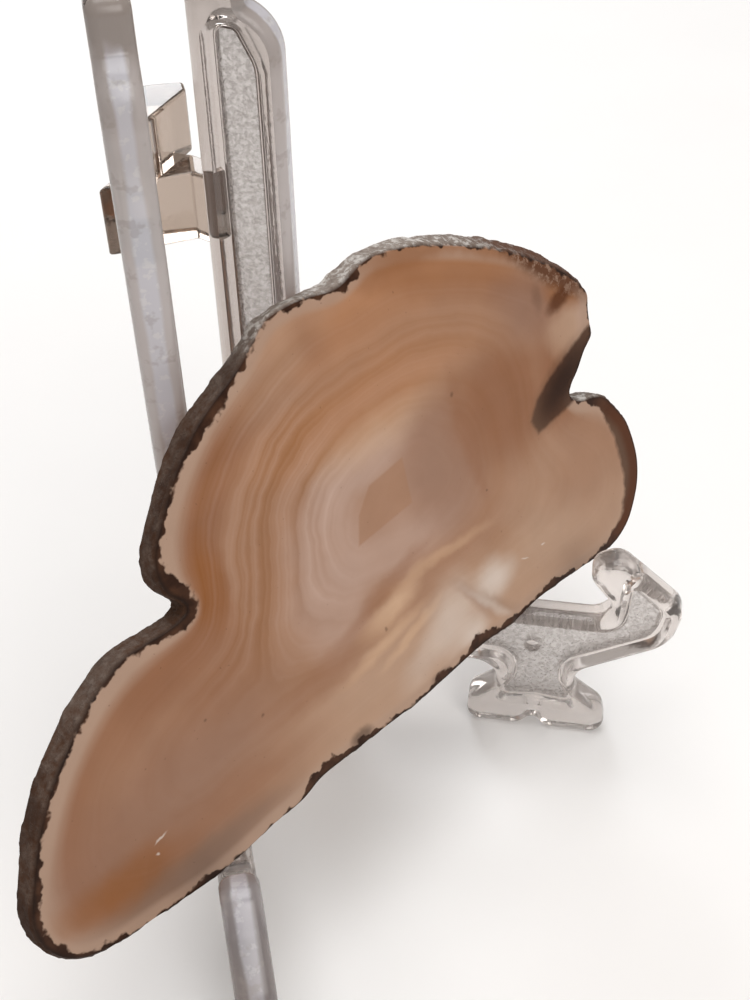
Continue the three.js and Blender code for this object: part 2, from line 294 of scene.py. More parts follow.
def flat_start(name, points, height):
    """A filled circle primitive whose vertices are moved onto an outline in millimetres."""
    deselect_all()
    bpy.ops.mesh.primitive_circle_add(vertices=len(points), radius=1, fill_type="NGON")
    obj = bpy.context.object
    obj.name = obj.data.name = name
    for vertex, (x, y) in zip(obj.data.vertices, points):
        vertex.co = Vector((x, y, height)) * MM
    return obj


def extrude(height):
    bpy.ops.mesh.extrude_region_move(TRANSFORM_OT_translate={"value": (0, 0, height * MM)})


def extrude_ring(obj, ring, wider, height):
    """Extrudes the selection, moves each new vertex from ring to wider, and returns wider."""
    extrude(0)
    shape = bmesh.from_edit_mesh(obj.data)
    moved = [v for v in shape.verts if v.select]
    for vertex, i in zip(moved, nearest_index(moved, ring)):
        vertex.co = Vector((*wider[i], height)) * MM
    bmesh.update_edit_mesh(obj.data)
    return wider


def prism(name, points, bottom, top):
    """Straight solid between two heights over an outline."""
    obj = flat_start(name, points, bottom)
    edit_mesh(obj)
    select_whole_mesh()
    extrude(top - bottom)
    leave_closed()
    return obj


def round_cap_edges(obj, width, segments):
    """Rounds the edges that bound the flat top and bottom of a prism."""
    shape = edit_mesh(obj)
    heights = [v.co.z for v in shape.verts]
    caps = min(heights), max(heights)
    bpy.ops.mesh.select_mode(type="EDGE")
    for edge in shape.edges:
        first, second = (v.co.z for v in edge.verts)
        edge.select_set(abs(first - second) < SAME_HEIGHT
                        and any(abs(first - cap) < SAME_HEIGHT for cap in caps))
    bmesh.update_edit_mesh(obj.data)
    bpy.ops.mesh.bevel(offset=width * MM, segments=segments, profile=0.5, affect="EDGES",
                       clamp_overlap=False)
    leave_edit()


def round_bar(form, radius, height, centre, materials, look):
    """Upright cylinder with rounded cap edges; its height is in millimetres."""
    deselect_all()
    bpy.ops.mesh.primitive_cylinder_add(vertices=form["sides"], radius=radius * MM,
                                        depth=height * MM, location=centre)
    bar = bpy.context.object
    bpy.ops.object.transform_apply(location=True, rotation=False, scale=False)
    round_cap_edges(bar, form["round"], 2)
    wear_look(bar, materials, look)
    return bar


def combine(obj, tool, operation):
    """Joins or cuts obj with tool, and removes the tool."""
    apply_modifier(obj, "combine", "BOOLEAN", object=tool, operation=operation, solver="EXACT")
    bpy.data.objects.remove(tool, do_unlink=True)


def must_be_closed(obj):
    """Raises if obj's mesh has an open or doubled edge."""
    shape = bmesh.new()
    shape.from_mesh(obj.data)
    loose = sum(1 for edge in shape.edges if not edge.is_manifold)
    shape.free()
    if loose:
        raise RuntimeError(f"{obj.name} has {loose} edges that don't join two faces")


def turn_to_frame(side, half_angle):
    """Matrix from a side frame's own plane to the shared frame; side is -1 left, 1 right."""
    heading = side * half_angle - math.pi / 2
    return (Matrix.Translation(HINGE) @ Matrix.Rotation(heading, 4, "Z")
            @ Matrix.Rotation(math.pi / 2, 4, "X"))


def lean_to_frame(lean):
    """Matrix from the slice's polished face to the shared frame."""
    return Matrix.Translation(HINGE + SLICE_FOOT) @ Matrix.Rotation(math.pi / 2 - lean, 4, "X")


def pocket_profile(slope, depth, soft):
    """Wall of a sunk web: (outward, above the floor), rounded at its foot and at its mouth."""
    lean = slope / depth
    wall = [(lean * t, t) for t in (soft, depth - soft)]
    foot = [(-0.7 * soft, 0), (-0.25 * soft, 0.1 * soft), (0.3 * soft, 0.4 * soft)]
    mouth = [(slope + 0.05 * soft, depth - 0.35 * soft), (slope + 0.6 * soft, depth + 0.05 * soft)]
    clear = [(slope + 1.6 * soft, depth + 0.7 * soft)]
    return foot + wall + mouth + clear


def pocket_tool(points, floor, profile, face):
    """Cutter for a sunk web: its outline raised and widened along the wall's profile."""
    normals = outward_normals(points)
    ring = points + normals * profile[0][0]
    tool = flat_start("pocket", ring, floor)
    edit_mesh(tool)
    select_whole_mesh()
    for out, height in profile[1:]:
        ring = extrude_ring(tool, ring, points + normals * out, floor + height)
    leave_closed()
    if face < 0:
        tool.data.transform(Matrix.Scale(-1, 4, (0, 0, 1)))
        tool.data.flip_normals()
    return tool


def wear_look(obj, materials, look):
    """Gives every face of obj one look out of the frame's materials."""
    for material in materials:
        obj.data.materials.append(material)
    for polygon in obj.data.polygons:
        polygon.material_index = LOOKS.index(look)


def side_plate(name, settings, materials, haze):
    """One moulded side frame lying in its own plane, without its hinge block."""
    half = settings.thickness / MM / 2
    depth = settings.pocket_depth / MM
    plate = prism(name, rounded_outline(FRAME_OUTLINE), -half, half)
    round_cap_edges(plate, settings.rim_round / MM, RIM_SEGMENTS)
    wear_look(plate, materials, "gloss")
    for polygon in plate.data.polygons:
        forward, up = polygon.center.x / MM, polygon.center.y / MM
        hazy = any(forward > start and up > bottom for start, bottom in haze)
        if hazy and abs(polygon.normal.z) < WALL_SLANT:
            polygon.material_index = LOOKS.index("edge")
    outline = rounded_outline(POCKET_OUTLINE)
    profile = pocket_profile(settings.pocket_slope / MM, depth, settings.pocket_soft / MM)
    for face in (1, -1):
        tool = pocket_tool(outline, half - depth, profile, face)
        wear_look(tool, materials, "gloss")
        combine(plate, tool, "DIFFERENCE")
    for polygon in plate.data.polygons:
        level = abs(polygon.center.z) / MM
        if abs(polygon.normal.z) > FLOOR_SLANT and level < half - depth + SLACK:
            polygon.material_index = LOOKS.index("web")
    mark = EJECTOR_MARK
    for face in (1, -1):
        centre = (mark["forward"] * MM, mark["height"] * MM,
                  face * (half - depth - mark["depth"] + depth / 2) * MM)
        dimple = round_bar(mark, mark["radius"], depth, centre, materials, "gloss")
        combine(plate, dimple, "DIFFERENCE")
    return plate


def hinge_block(block, materials):
    solid = prism("block", np.array(block["plan"], float), block["bottom"], block["top"])
    apply_modifier(solid, "soften", "BEVEL", width=BLOCK_ROUND * MM, segments=3,
                   limit_method="ANGLE", angle_limit=BLOCK_CORNER)
    solid.data.transform(Matrix.Translation(HINGE))
    wear_look(solid, materials, "block")
    return solid


def hinge_pin(radius, bottom, top, materials):
    centre = HINGE + Vector((HINGE_PIN["x"], HINGE_PIN["y"], (top + bottom) / 2)) * MM
    return round_bar(HINGE_PIN, radius, top - bottom, centre, materials, "block")


def even_shading(obj, look):
    """Shades the flat walls that have one look as flat, beside their rounded edges."""
    index = LOOKS.index(look)
    corners = sorted({corner for polygon in obj.data.polygons if polygon.material_index == index
                      for corner in polygon.vertices})
    obj.vertex_groups.new(name="flat walls").add(corners, 1.0, "REPLACE")
    apply_modifier(obj, "even shading", "WEIGHTED_NORMAL", keep_sharp=True,
                   vertex_group="flat walls")
    obj.vertex_groups.clear()


def finish_piece(obj, angle, node, body):
    """Smooth shading, a check that the mesh is closed, and the piece's place in the frame."""
    make_active(obj)
    bpy.ops.object.shade_smooth_by_angle(angle=angle)
    must_be_closed(obj)
    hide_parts(node)
    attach(obj, body)


# Material helpers


class Signal:
    """An output socket of a node tree. Sums with signals add a maths node for each step."""

    def __init__(self, socket):
        self.socket = socket
        self.tree = socket.id_data

    def __add__(self, other):
        return maths("ADD", self, other)

    def __radd__(self, other):
        return maths("ADD", other, self)

    def __sub__(self, other):
        return maths("SUBTRACT", self, other)

    def __rsub__(self, other):
        return maths("SUBTRACT", other, self)

    def __mul__(self, other):
        return maths("MULTIPLY", self, other)

    def __truediv__(self, other):
        return maths("DIVIDE", self, other)


def tree_of(*values):
    return next(value.tree for value in values if isinstance(value, Signal))


def connect(value, socket):
    """Joins a signal to an input socket, or sets a plain value on it."""
    if isinstance(value, Signal):
        value.tree.links.new(value.socket, socket)
    elif socket.type == "RGBA":
        socket.default_value = (*value[:3], 1)
    else:
        socket.default_value = value


def add_node(tree, kind, inputs=None, **settings):
    """A node with its settings and its inputs."""
    node = tree.nodes.new(kind)
    for key, value in settings.items():
        setattr(node, key, value)
    for key, value in (inputs or {}).items():
        connect(value, node.inputs[key])
    return node


def signal(tree, kind, inputs=None, output=0, **settings):
    """An output of a new node."""
    return Signal(add_node(tree, kind, inputs, **settings).outputs[output])


def maths(operation, a, b=0.0, clamp=False):
    return signal(tree_of(a, b), "ShaderNodeMath", {0: a, 1: b}, operation=operation,
                  use_clamp=clamp)


def vector_maths(operation, *values, output=0):
    return signal(tree_of(*values), "ShaderNodeVectorMath", dict(enumerate(values)), output,
                  operation=operation)


def blend(factor, a, b):
    """Colour between a and b."""
    node = add_node(tree_of(factor, a, b), "ShaderNodeMix", data_type="RGBA")
    for socket, value in zip([s for s in node.inputs if s.enabled], (factor, a, b)):
        connect(value, socket)
    return Signal(next(s for s in node.outputs if s.enabled))


def ramp(factor, stops):
    """Colour ramp from (place, colour) stops."""
    node = add_node(factor.tree, "ShaderNodeValToRGB", {0: factor})
    elements = node.color_ramp.elements
    while len(elements) < len(stops):
        elements.new(0.5)
    for element, (place, colour) in zip(elements, stops):
        element.position = place
        element.color = (*colour[:3], 1)
    return Signal(node.outputs[0])


def step_up(value, low, high):
    """0 below low, 1 above high, smooth between."""
    return signal(value.tree, "ShaderNodeMapRange", {0: value, 1: low, 2: high, 3: 0.0, 4: 1.0},
                  interpolation_type="SMOOTHSTEP")


def noise(point, scale, detail=2.0, roughness=0.5, distortion=0.0, dimensions="3D"):
    inputs = {"Scale": scale, "Detail": detail, "Roughness": roughness, "Distortion": distortion}
    inputs["W" if dimensions == "1D" else "Vector"] = point
    return signal(point.tree, "ShaderNodeTexNoise", inputs, noise_dimensions=dimensions)


def attributes(tree, *names):
    return [signal(tree, "ShaderNodeAttribute", output="Fac", attribute_name=name)
            for name in names]


def axis(point, name):
    return signal(point.tree, "ShaderNodeSeparateXYZ", {0: point}, name)


def new_group(name, inputs, outputs):
    """Empty node group with named inputs, each with its default, and named number outputs."""
    tree = bpy.data.node_groups.new(name, "ShaderNodeTree")
    for title, value in inputs.items():
        kind = "NodeSocketFloat" if isinstance(value, float) else "NodeSocketVector"
        socket = tree.interface.new_socket(title, in_out="INPUT", socket_type=kind)
        socket.default_value = value
    for title in outputs:
        tree.interface.new_socket(title, in_out="OUTPUT", socket_type="NodeSocketFloat")
    given = [Signal(socket) for socket in tree.nodes.new("NodeGroupInput").outputs[:len(inputs)]]
    return tree, given, tree.nodes.new("NodeGroupOutput").inputs


def soft_patch_group():
    """Mask of a turned ellipse with a soft edge, in the plane of the point's X and Y."""
    origin = (0, 0, 0)
    tree, (point, centre, size, turn, softness), result = new_group(
        "Soft patch", {"Point": origin, "Centre": origin, "Size": (1, 1, 1), "Turn": origin,
                       "Softness": 0.5}, ["Mask"])
    placed = signal(tree, "ShaderNodeMapping", {
        "Vector": point, "Location": centre, "Rotation": turn, "Scale": size},
        vector_type="TEXTURE")
    length = vector_maths("LENGTH", vector_maths("MULTIPLY", placed, (1, 1, 0)), output="Value")
    connect(1.0 - step_up(length, 1.0 - softness, 1.0 + softness), result["Mask"])
    return tree


def surface_wear_group():
    """Small changes of roughness and a fine relief, for moulded and for polished surfaces."""
    tree, (point, scale, roughness, variation), result = new_group(
        "Surface wear", {"Point": (0, 0, 0), "Scale": 1.0, "Roughness": 0.1, "Variation": 0.05},
        ["Roughness", "Relief"])
    broad = noise(point, scale, detail=3.0)
    connect(maths("ADD", roughness, (broad - 0.5) * variation, clamp=True), result["Roughness"])
    connect(broad * 0.7 + noise(point, scale * 6.0) * 0.3, result["Relief"])
    return tree


def shared_group(name, build):
    return bpy.data.node_groups.get(name) or build()


def surface_wear(point, scale, roughness, variation):
    """Roughness and relief of a worn surface."""
    node = add_node(point.tree, "ShaderNodeGroup", {
        "Point": point, "Scale": scale, "Roughness": roughness, "Variation": variation},
        node_tree=shared_group("Surface wear", surface_wear_group))
    return [Signal(socket) for socket in node.outputs]


def new_material(name):
    material = bpy.data.materials.new(name)
    material.use_nodes = True
    tree = material.node_tree
    tree.nodes.clear()
    output = tree.nodes.new("ShaderNodeOutputMaterial")
    shader = tree.nodes.new("ShaderNodeBsdfPrincipled")
    tree.links.new(shader.outputs[0], output.inputs["Surface"])
    return material, shader, output


def object_point(tree):
    return signal(tree, "ShaderNodeTexCoord", output="Object")


def millimetre_point(tree, matrix):
    """The surface point in a piece's own plane, in millimetres."""
    return signal(tree, "ShaderNodeMapping", {
        "Vector": object_point(tree), "Location": matrix.to_translation(),
        "Rotation": matrix.to_euler("XYZ"), "Scale": (MM, MM, MM)}, vector_type="TEXTURE")


def bump(shader, strength, distance, height):
    relief = signal(height.tree, "ShaderNodeBump", {
        "Strength": strength, "Distance": distance, "Height": height})
    connect(relief, shader.inputs["Normal"])


def plastic_material(name, settings, matrix, look):
    """Clear moulded plastic for one look: gloss, web (stippled), edge or block."""
    material, shader, output = new_material(name)
    tree = material.node_tree
    point = millimetre_point(tree, matrix)
    kind = look if look in ("web", "edge") else "gloss"
    roughness, relief = surface_wear(point, 0.25, getattr(settings, f"{kind}_roughness"), 0.08)
    connect(roughness, shader.inputs["Roughness"])

    mottle = step_up(noise(point, 0.08), 0.3, 0.7)
    place = (axis(point, "Y") + mottle * 6.0) / FRAME_HEIGHT
    own = {"block": settings.tint_block, "edge": settings.tint_side}.get(look, settings.tint_body)
    foot = settings.tint_shin if look == "edge" else settings.lit_foot_tint
    # The tint changes with height: the paler foot and the darker top post are painted light and
    # shade for the surroundings seen in the clear plastic; the hazy edges start from their own
    # dark tint near the floor.
    tint = ramp(place, [(0.0, foot), (0.3, foot), (0.5, own), (0.93, own),
                        (0.98, settings.shaded_top_and_fleck_tint)])
    if look == "edge":
        # A pale cool lane along the middle of the front edge, stronger higher up and gone at the
        # top post: a painted highlight, the reflection of a cool light.
        highlight_lane = step_up(maths("ABSOLUTE", axis(point, "Z")) + mottle * 0.4, 1.4, 0.8)
        height = 0.35 + step_up(place, 0.2, 0.5) * 0.65
        highlight_lane = highlight_lane * height * step_up(place, 0.985, 0.97)
        tint = blend(highlight_lane, tint, settings.edge_highlight_tint)
        # Pale flecks within the lane: painted glints, partly real dust.
        dust_and_glint_flecks = step_up(noise(point, 0.7, detail=3.0, roughness=0.6), 0.55, 0.62)
        tint = blend(dust_and_glint_flecks * (highlight_lane * height), tint, DUST_AND_GLINT_TINT)
        # Dark flecks on the hazy edges.
        dark_flecks = step_up(noise(point, 0.31, detail=3.0, roughness=0.7), 0.56, 0.66)
        tint = blend(dark_flecks * 0.35, tint, settings.shaded_top_and_fleck_tint)
    tint = blend(mottle * 0.15, tint, settings.tint_block)
    if look == "web":
        grain = step_up(noise(point, 1.7, detail=1.0, distortion=0.6), 0.4, 0.55)
        bump(shader, 0.5, settings.stipple_height, grain)
        # The low parts of the stipple are darkened in colour: painted shade that makes the relief
        # show.
        shade = (1.0 - grain) * (0.5 + step_up(place, 0.3, 0.6) * 0.05)
        tint = blend(shade, blend(0.55, tint, WEB_TINT), GRAIN_SHADE_TINT)
    else:
        bump(shader, 0.35, 0.15 * MM, relief)
    connect(tint, shader.inputs["Base Color"])
    shader.inputs["Transmission Weight"].default_value = getattr(settings, f"{kind}_clearness")
    shader.inputs["IOR"].default_value = PLASTIC_IOR
    absorb = signal(tree, "ShaderNodeVolumeAbsorption", {
        "Color": settings.absorb_colour, "Density": settings.absorb_density})
    connect(absorb, output.inputs["Volume"])
    return material


# Settings


def length_of(name, text, millimetres, **limits):
    return FloatProperty(name=name, description=text, default=millimetres * MM, unit="LENGTH",
                         **limits)


def angle_of(name, text, degrees):
    return FloatProperty(name=name, description=text, default=math.radians(degrees),
                         subtype="ANGLE")


def number_of(name, text, value, **settings):
    return FloatProperty(name=name, description=text, default=value, **settings)


def share_of(name, text, value):
    return FloatProperty(name=name, description=text, default=value, min=0, max=1)


def colour_of(name, text, value):
    """Colour setting; value is an sRGB hex code or a linear colour."""
    value = srgb(value) if isinstance(value, str) else value
    return FloatVectorProperty(name=name, description=text, subtype="COLOR", size=3,
                               default=value, min=0, max=1)


class StandSettings(bpy.types.PropertyGroup):
    thickness: length_of("Frame thickness", "Thickness of a side frame across its raised rim", 5,
                         min=3 * MM, max=8 * MM)
    half_angle: angle_of("Opening", "Angle of each side frame from the middle plane", 34.5)
    rim_round: length_of("Rim rounding", "Radius of the outer edges of the rim", 1.5)
    pocket_depth: length_of("Web depth", "How deep the web is sunk on each face", 1.3)
    pocket_slope: length_of("Web slope", "How far the wall of the sunk web leans", 0.9)
    pocket_soft: length_of("Web softness", "Rounding of the edges of the sunk web", 0.5)
    stipple_height: length_of("Stipple height", "Height of the grain moulded into the web", 0.12)
    gloss_roughness: number_of("Gloss roughness", "Roughness of the smooth plastic", 0.07)
    web_roughness: number_of("Web roughness", "Roughness of the stippled web", 0.25)
    edge_roughness: number_of("Edge roughness", "Roughness of the hazy narrow edges", 0.2)
    gloss_clearness: share_of("Gloss clearness", "How clear the smooth plastic is, 0 to 1", 0.94)
    web_clearness: share_of("Web clearness", "How clear the stippled web is, 0 to 1", 0.72)
    edge_clearness: share_of("Edge clearness", "How clear the hazy narrow edges are, 0 to 1", 0.5)
    # Painted light: the foot's paler tint stands in for the bright surroundings seen through the
    # plastic.
    lit_foot_tint: colour_of("Foot tint", "Tint of the clear plastic at the toes and the lip",
                         (0.88, 0.83, 0.8))
    tint_body: colour_of("Body tint", "Tint of the clear plastic along the spine",
                         (0.62, 0.56, 0.53))
    # Painted shade: the top post's darker tint stands in for the dark room reflected there; the
    # dark flecks on the hazy edges use it too.
    shaded_top_and_fleck_tint: colour_of("Top tint", "Tint of the clear plastic at the top post",
                        (0.44, 0.39, 0.36))
    tint_block: colour_of("Block tint", "Warm tint of the thick hinge blocks", (0.5, 0.4, 0.33))
    tint_side: colour_of("Edge side tint", "Tint of the rounded sides of the spine's front edge",
                         (0.76, 0.71, 0.7))
    # Painted highlight: the cool lane along the front edge stands in for the reflection of a cool
    # light.
    edge_highlight_tint: colour_of("Edge tint", "Cool tint along the middle of the spine's front edge",
                         (0.87, 0.87, 0.95))
    tint_shin: colour_of("Low edge tint", "Tint of the narrow edges near the floor",
                         (0.3, 0.27, 0.27))
    absorb_colour: colour_of("Depth colour", "Colour that the plastic takes through its thickness",
                             (0.66, 0.58, 0.54))
    absorb_density: number_of("Depth density", "How fast the depth colour builds up, per metre",
                              6.0)


class SliceSettings(bpy.types.PropertyGroup):
    thickness: length_of("Slice thickness", "Thickness of the sawn slice", 3.6)
    lean: angle_of("Lean", "How far the slice leans back from upright", 23.4)
    relief: length_of("Rim relief", "Height of the lumps on the rough natural rim", 0.55)
    cream: colour_of("Cream", "Pale border inside the rind", "#a68a77")
    tan: colour_of("Tan", "Main colour of the bands", "#9d775e")
    russet: colour_of("Russet", "Reddish zones", "#8c6248")
    amber: colour_of("Amber", "Deep orange zones", "#8b5c3b")
    gold: colour_of("Gold", "Golden bands over the core", "#aa7c5c")
    lilac: colour_of("Lilac grey", "Pale zone round the core", "#ae9181")
    mauve: colour_of("Mauve", "Dull reddish grey zones", "#8f6e5c")
    ash: colour_of("Ash", "Grey foot of the left lobe", "#826858")
    blush: colour_of("Blush", "Pale zone along the foot", "#b0917a")
    sand: colour_of("Sand", "Pale golden streaks", "#c3a184")
    # Whitish places: painted reflections and painted light shining through the stone; the small
    # white flecks use it too.
    milk_and_glare: colour_of("Milk", "Whitish translucent places", "#cdbfb4")
    rind: colour_of("Rind", "Dark rind on the polished face", "#2c170b")
    rind_light: colour_of("Light rind", "Thinner places of the rind", "#4a2f1f")
    rind_warm: colour_of("Warm rind", "Broad brown rind of the right lobe", "#522c14")
    rind_smoke: colour_of("Smoky rind", "Greyish inner part of the broad rind", "#5d4434")
    # Painted shadow: the almost black line along the outer edge of the face.
    rind_edge_shadow: colour_of("Rind edge", "Almost black outermost line of the rind", "#1c0f08")
    wall_dark: colour_of("Dark wall", "Dark places on the rough rim", "#463023")
    wall_pale: colour_of("Pale wall", "Pale places on the rough rim", "#948a82")
    wall_frost: colour_of("Frosted wall", "Chalky crust on the pale places of the rough rim",
                          "#c6c1bc")
    polish: number_of("Polish", "Roughness of the polished face", 0.2)


class StageSettings(bpy.types.PropertyGroup):
    floor_colour: colour_of("Floor", "Colour of the plain floor", (0.86, 0.855, 0.85))
    sky_colour: colour_of("Sky colour", "Colour of the even light from all round",
                          (0.9, 0.86, 0.83))
    sky_strength: number_of("Sky", "Strength of the even light from all round", 0.5)
    overhead_power: number_of("Overhead light", "Power of the large soft light above", 7.4,
                              unit="POWER")
    key_power: number_of("Key light", "Power of the cool light behind the stand", 2.2,
                         unit="POWER")
    fill_power: number_of("Fill light", "Power of the warm light in front", 2.7, unit="POWER")
    lens: number_of("Lens", "Focal length of the camera, mm", 47.95)


def slice_outline():
    """Outline of the polished face and the flare of the back, evenly spaced, anticlockwise."""
    knots = np.array(SLICE_OUTLINE, float)
    count = len(knots)
    dense = []
    for i in range(count):
        p0, p1, p2, p3 = (knots[(i + k) % count] for k in (-1, 0, 1, 2))
        t0, t1, t2 = (math.sqrt(np.linalg.norm(b - a)) for a, b in ((p0, p1), (p1, p2), (p2, p3)))
        m1 = ((p1 - p0) / t0 - (p2 - p0) / (t0 + t1) + (p2 - p1) / t1) * t1
        m2 = ((p2 - p1) / t1 - (p3 - p1) / (t1 + t2) + (p3 - p2) / t2) * t1
        for k in range(SPLINE_STEPS):
            t = k / SPLINE_STEPS
            dense.append(p1 * (2 * t**3 - 3 * t**2 + 1) + m1 * (t**3 - 2 * t**2 + t)
                         + p2 * (-2 * t**3 + 3 * t**2) + m2 * (t**3 - t**2))
    loop = np.array(dense + dense[:1])
    steps = np.linalg.norm(np.diff(loop[:, :2], axis=0), axis=1)
    along = np.concatenate([[0], np.cumsum(steps)])
    places = np.linspace(0, along[-1], int(along[-1] / OUTLINE_STEP), endpoint=False)
    return np.stack([np.interp(places, along, loop[:, k]) for k in range(3)], 1)


def nearest_on_outline(points, outline):
    """For each point, its distance from a closed outline and the index of the nearest sample."""
    start = outline[:, :2]
    along = np.roll(start, -1, 0) - start
    square = (along**2).sum(1)
    distance, index = np.empty(len(points)), np.empty(len(points), int)
    for k in range(0, len(points), CHUNK):
        part = points[k:k + CHUNK, None, :] - start[None]
        t = np.clip((part * along).sum(2) / square, 0, 1)
        gap = np.linalg.norm(part - t[..., None] * along, axis=2)
        index[k:k + CHUNK] = gap.argmin(1)
        distance[k:k + CHUNK] = gap.min(1)
    return distance, index


def rim_character(outline):
    """Rind width and wall paleness at every outline point, read from RIM_CHARACTER."""
    table = np.array(RIM_CHARACTER, float)
    gap = np.linalg.norm(table[:, None, :2] - outline[None, :, :2], axis=2)
    place = gap.argmin(1)
    order = np.argsort(place)
    count = len(outline)
    places = np.concatenate([place[order] + turn * count for turn in (-1, 0, 1)])
    spots = np.arange(count)
    return [np.interp(spots, places, np.tile(table[order, k], 3)) for k in (2, 3)]


def cut_face_grid(obj, low, high):
    """Cuts a flat face into small cells, so that it can carry the band pattern."""
    edit_mesh(obj)
    for k, direction in enumerate((Vector((1, 0, 0)), Vector((0, 1, 0)))):
        for place in np.arange(math.ceil(low[k]) + 0.5, high[k], FACE_CELL):
            select_whole_mesh()
            bpy.ops.mesh.bisect(plane_co=direction * (place * MM), plane_no=direction)
    select_whole_mesh()
    bpy.ops.mesh.remove_doubles(threshold=GRID_MERGE)
    leave_edit()


def border_loop(shape):
    """Border vertices of an open edit mesh in order."""
    first = next(edge for edge in shape.edges if edge.is_boundary)
    start = first.verts[0]
    loop, vertex, edge = [start], first.verts[1], first
    while vertex is not start:
        loop.append(vertex)
        edge = next(e for e in vertex.link_edges if e.is_boundary and e is not edge)
        vertex = edge.other_vert(vertex)
    return loop


def flat_places(vertices):
    return np.array([v.co[:2] for v in vertices]) / MM


def grow_wall(obj, outline, normals, thickness):
    """Extrudes the border of the polished face down the rough wall to the back."""
    height = thickness - 2 * WALL_EDGE
    rings = [(WALL_EDGE + height * k / WALL_RINGS, 0.0) for k in range(WALL_RINGS + 1)]
    rings += [(thickness, -POLISH_EDGE)]
    shape = edit_mesh(obj)
    bpy.ops.mesh.select_mode(type="EDGE")
    flat = ring = flat_places(border_loop(shape))
    index = nearest_on_outline(flat, outline)[1]
    for edge in shape.edges:
        edge.select_set(edge.is_boundary)
    bmesh.update_edit_mesh(obj.data)
    for depth, step in rings:
        out = (POLISH_EDGE + step + outline[index, 2] * depth / thickness)[:, None]
        ring = extrude_ring(obj, ring, flat + normals[index] * out, -depth)
    leave_edit()


def close_back(obj, outline, normals, thickness):
    """Closes the slice with a copy of the face grid, stretched to the flare of the back."""
    shape = edit_mesh(obj)
    for face in shape.faces:
        face.select_set(all(abs(v.co.z) < SAME_HEIGHT for v in face.verts))
    bmesh.update_edit_mesh(obj.data)
    bpy.ops.mesh.duplicate()
    shape = bmesh.from_edit_mesh(obj.data)
    copied = [v for v in shape.verts if v.select]
    flat = flat_places(copied)
    distance, index = nearest_on_outline(flat, outline)
    for vertex, (x, y), gap, i in zip(copied, flat, distance, index):
        out = outline[i, 2] * max(0.0, 1 - (gap - POLISH_EDGE) / FLARE_REACH)
        vertex.co = Vector((x + normals[i, 0] * out, y + normals[i, 1] * out, -thickness)) * MM
    bmesh.update_edit_mesh(obj.data)
    bpy.ops.mesh.flip_normals()
    select_whole_mesh()
    bpy.ops.mesh.remove_doubles(threshold=SEAM_MERGE)
    leave_closed()


def smoothed_depth(obj, depth):
    """Depth under the rim with its ridges rounded, so that bands bend without a crease."""
    edges = np.empty(len(obj.data.edges) * 2, int)
    obj.data.edges.foreach_get("vertices", edges)
    first, second = edges.reshape(-1, 2).T

    def neighbours(values):
        return (np.bincount(first, values[second], len(depth))
                + np.bincount(second, values[first], len(depth)))

    degree = neighbours(np.ones(len(depth)))
    share = np.clip(depth / SMOOTH_DEPTH, 0, 1)
    smooth = depth
    for _ in range(SMOOTH_ROUNDS):
        smooth = smooth + share * (neighbours(smooth) / degree - smooth)
    return smooth


def store_rim_values(obj, outline, thickness):
    """Keeps on each vertex how far it is from the rim, the rind there and what face it is on."""
    rind, pale = rim_character(outline)
    at = np.array([v.co for v in obj.data.vertices]) / MM
    distance, index = nearest_on_outline(at[:, :2], outline)
    front = at[:, 2] > -FACE_SLACK
    back = at[:, 2] < -thickness + FACE_SLACK
    wall = ~(front | back)
    values = {
        "rim": np.where(wall, 0.0, distance),
        "band": smoothed_depth(obj, np.where(front, distance, 0.0)),
        "rind": rind[index], "pale": pale[index], "wall": wall, "back": back,
    }
    for name, value in values.items():
        layer = obj.data.attributes.new(name, "FLOAT", "POINT")
        layer.data.foreach_set("value", value.astype(np.float32))
    group = obj.vertex_groups.new(name="rough wall")
    group.add([int(i) for i in np.flatnonzero(wall)], 1.0, "REPLACE")


def roughen_wall(obj, relief):
    """Two sizes of natural lumps on the rim."""
    for title, (size, part) in WALL_LUMPS.items():
        texture = bpy.data.textures.new(title, "CLOUDS")
        texture.noise_scale = size * MM
        texture.noise_depth = 2
        apply_modifier(obj, title, "DISPLACE", texture=texture, texture_coords="LOCAL",
                       vertex_group="rough wall", mid_level=0.5, strength=relief * part)


